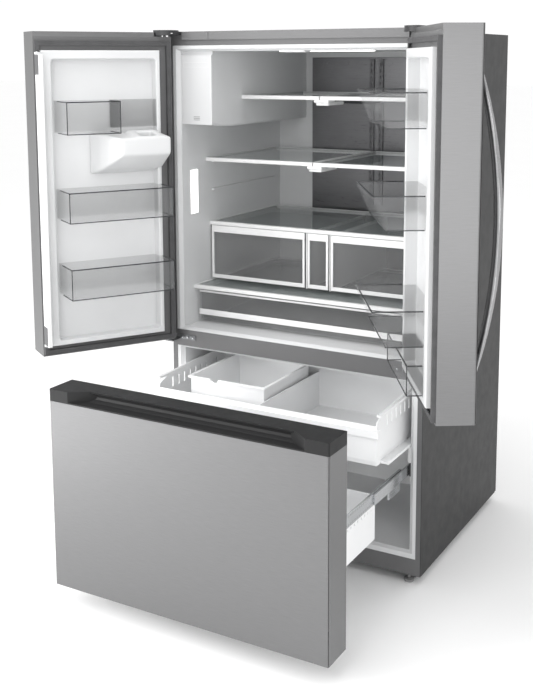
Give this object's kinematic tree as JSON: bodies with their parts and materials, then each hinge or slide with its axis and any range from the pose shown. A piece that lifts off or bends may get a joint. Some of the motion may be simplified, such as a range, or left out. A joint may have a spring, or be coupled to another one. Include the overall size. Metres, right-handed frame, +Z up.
{
  "type": "french door refrigerator",
  "caption": "Free-standing refrigerator with side-hinged double doors over a pull-out freezer drawer, with shelves, clear bins, crispers, an ice maker and a water and ice dispenser.",
  "frame": {"origin": "on the floor, in the middle of the footprint that the object has at rest, with both doors swung open and the freezer drawer out", "axes": "+Z up; +Y from the doors to the back of the cabinet; +X to the right as seen by someone facing the doors"},
  "size_m": [1.5588, 1.388, 1.697],
  "materials": {
    "stainless": "satin",
    "handle_steel": "satin",
    "case_paint": "matte",
    "frame_paint": "satin",
    "galvanised": "satin",
    "slide_zinc": "satin",
    "liner_white": "satin",
    "basket_white": "satin",
    "trim_white": "gloss",
    "trim_grey": "satin",
    "cover_dark": "satin",
    "gasket_grey": "matte",
    "mullion_dark": "matte",
    "bin_clear": "gloss",
    "drawer_clear": "gloss",
    "shelf_glass": "gloss",
    "panel_metal": "satin",
    "lens_white": "gloss",
    "foam": "matte",
    "foot_plastic": "matte",
    "compressor_black": "satin",
    "coil_metal": "satin",
    "fan_black": "matte",
    "rear_grey": "matte",
    "inlet_white": "satin",
    "dispenser_dark": "gloss"
  },
  "bodies": {
    "cabinet": {"cabinet_wrapper": "case_paint", "front_frame": "frame_paint", "insulation_foam": "foam", "back_panel": "galvanised", "fridge_liner": "liner_white", "freezer_liner": "liner_white", "top_trim": "trim_grey", "hinge_covers": "cover_dark", "hinge_brackets": "galvanised", "base_frame": "galvanised", "levelling_feet": "foot_plastic", "compressor": "compressor_black", "condenser_coil": "coil_metal", "machine_cover": "rear_grey", "water_inlet": "inlet_white", "evaporator": "coil_metal", "cooling_panel": "panel_metal", "shelf_ladder": "galvanised", "light_lenses": "lens_white", "ice_maker": "liner_white", "ice_maker_cover": "liner_white", "shelf_glass": "shelf_glass", "shelf_trims": "trim_white", "fixed_slides": "slide_zinc"},
    "left_door": {"left_door_skin": "stainless", "left_door_liner": "liner_white", "left_door_gasket": "gasket_grey", "left_door_handle": "handle_steel", "left_bin_upper": "bin_clear", "left_bin_middle": "bin_clear", "left_bin_lower": "bin_clear", "dispenser_housing": "liner_white", "dispenser_fascia": "dispenser_dark", "drip_tray": "dispenser_dark"},
    "flip_mullion": {"flip_mullion": "mullion_dark"},
    "dispenser_paddle": {"dispenser_paddle": "dispenser_dark"},
    "right_door": {"right_door_skin": "stainless", "right_door_liner": "liner_white", "right_door_gasket": "gasket_grey", "right_door_handle": "handle_steel", "right_bin_upper": "bin_clear", "right_bin_middle": "bin_clear", "right_bin_gallon": "bin_clear", "right_bin_lower": "bin_clear"},
    "freezer_drawer": {"drawer_front_skin": "stainless", "drawer_cap": "cover_dark", "drawer_front_liner": "liner_white", "drawer_gasket": "gasket_grey", "drawer_slides": "slide_zinc", "lower_basket": "basket_white"},
    "slide_middle": {"middle_slides": "slide_zinc"},
    "upper_basket": {"upper_basket": "basket_white", "ice_bin": "basket_white"},
    "crisper_left": {"crisper_left": "drawer_clear"},
    "crisper_middle": {"crisper_middle": "drawer_clear"},
    "crisper_right": {"crisper_right": "drawer_clear"},
    "deli_drawer": {"deli_drawer": "drawer_clear"},
    "rear_rollers": {"rear_rollers": "foot_plastic"},
    "condenser_fan": {"condenser_fan": "fan_black"},
    "evaporator_fan": {"evaporator_fan": "fan_black"}
  },
  "joints": [
    {"name": "left_door_hinge", "type": "hinge", "parent": "cabinet", "child": "left_door", "pos_m": [-0.4408, -0.1075, 1.18], "axis": [0, 0, -1], "range_deg": [-122, 8]},
    {"name": "flip_mullion_hinge", "type": "hinge", "parent": "left_door", "child": "flip_mullion", "pos_m": [-0.63261, -0.49569, 1.17], "axis": [0, 0, 1], "range_deg": [-90, 0]},
    {"name": "dispenser_paddle_hinge", "type": "hinge", "parent": "left_door", "child": "dispenser_paddle", "pos_m": [-0.55882, -0.25579, 1.212], "axis": [-0.5299, -0.848, 0], "range_deg": [0, 5], "stiffness_Nm_per_rad": 0.6, "springref_deg": -5.73},
    {"name": "right_door_hinge", "type": "hinge", "parent": "cabinet", "child": "right_door", "pos_m": [0.4408, -0.1075, 1.18], "axis": [0, 0, 1], "range_deg": [-122, 8]},
    {"name": "freezer_slide", "type": "slide", "parent": "cabinet", "child": "freezer_drawer", "axis": [0, -1, 0], "range_m": [-0.51, 0.02]},
    {"name": "slide_middle_travel", "type": "slide", "parent": "cabinet", "child": "slide_middle", "axis": [0, -1, 0], "range_m": [-0.2555, 0.0105]},
    {"name": "upper_basket_travel", "type": "slide", "parent": "cabinet", "child": "upper_basket", "axis": [0, -1, 0], "range_m": [-0.2305, 0.0095]},
    {"name": "crisper_left_slide", "type": "slide", "parent": "cabinet", "child": "crisper_left", "axis": [0, -1, 0], "range_m": [0, 0.25]},
    {"name": "crisper_middle_slide", "type": "slide", "parent": "cabinet", "child": "crisper_middle", "axis": [0, -1, 0], "range_m": [0, 0.25]},
    {"name": "crisper_right_slide", "type": "slide", "parent": "cabinet", "child": "crisper_right", "axis": [0, -1, 0], "range_m": [0, 0.25]},
    {"name": "deli_drawer_slide", "type": "slide", "parent": "cabinet", "child": "deli_drawer", "axis": [0, -1, 0], "range_m": [0, 0.16]},
    {"name": "rear_roller_spin", "type": "hinge", "parent": "cabinet", "child": "rear_rollers", "pos_m": [0, 0.629, 0.013], "axis": [1, 0, 0], "continuous": true},
    {"name": "condenser_fan_spin", "type": "hinge", "parent": "cabinet", "child": "condenser_fan", "pos_m": [0.02, 0.56, 0.14], "axis": [0, 1, 0], "continuous": true},
    {"name": "evaporator_fan_spin", "type": "hinge", "parent": "cabinet", "child": "evaporator_fan", "pos_m": [0, 0.555, 0.596], "axis": [0, 1, 0], "continuous": true}
  ],
  "couplings": [
    {"joint": "slide_middle_travel", "follows": "freezer_slide", "ratio": 0.5},
    {"joint": "upper_basket_travel", "follows": "freezer_slide", "ratio": 0.45098}
  ]
}
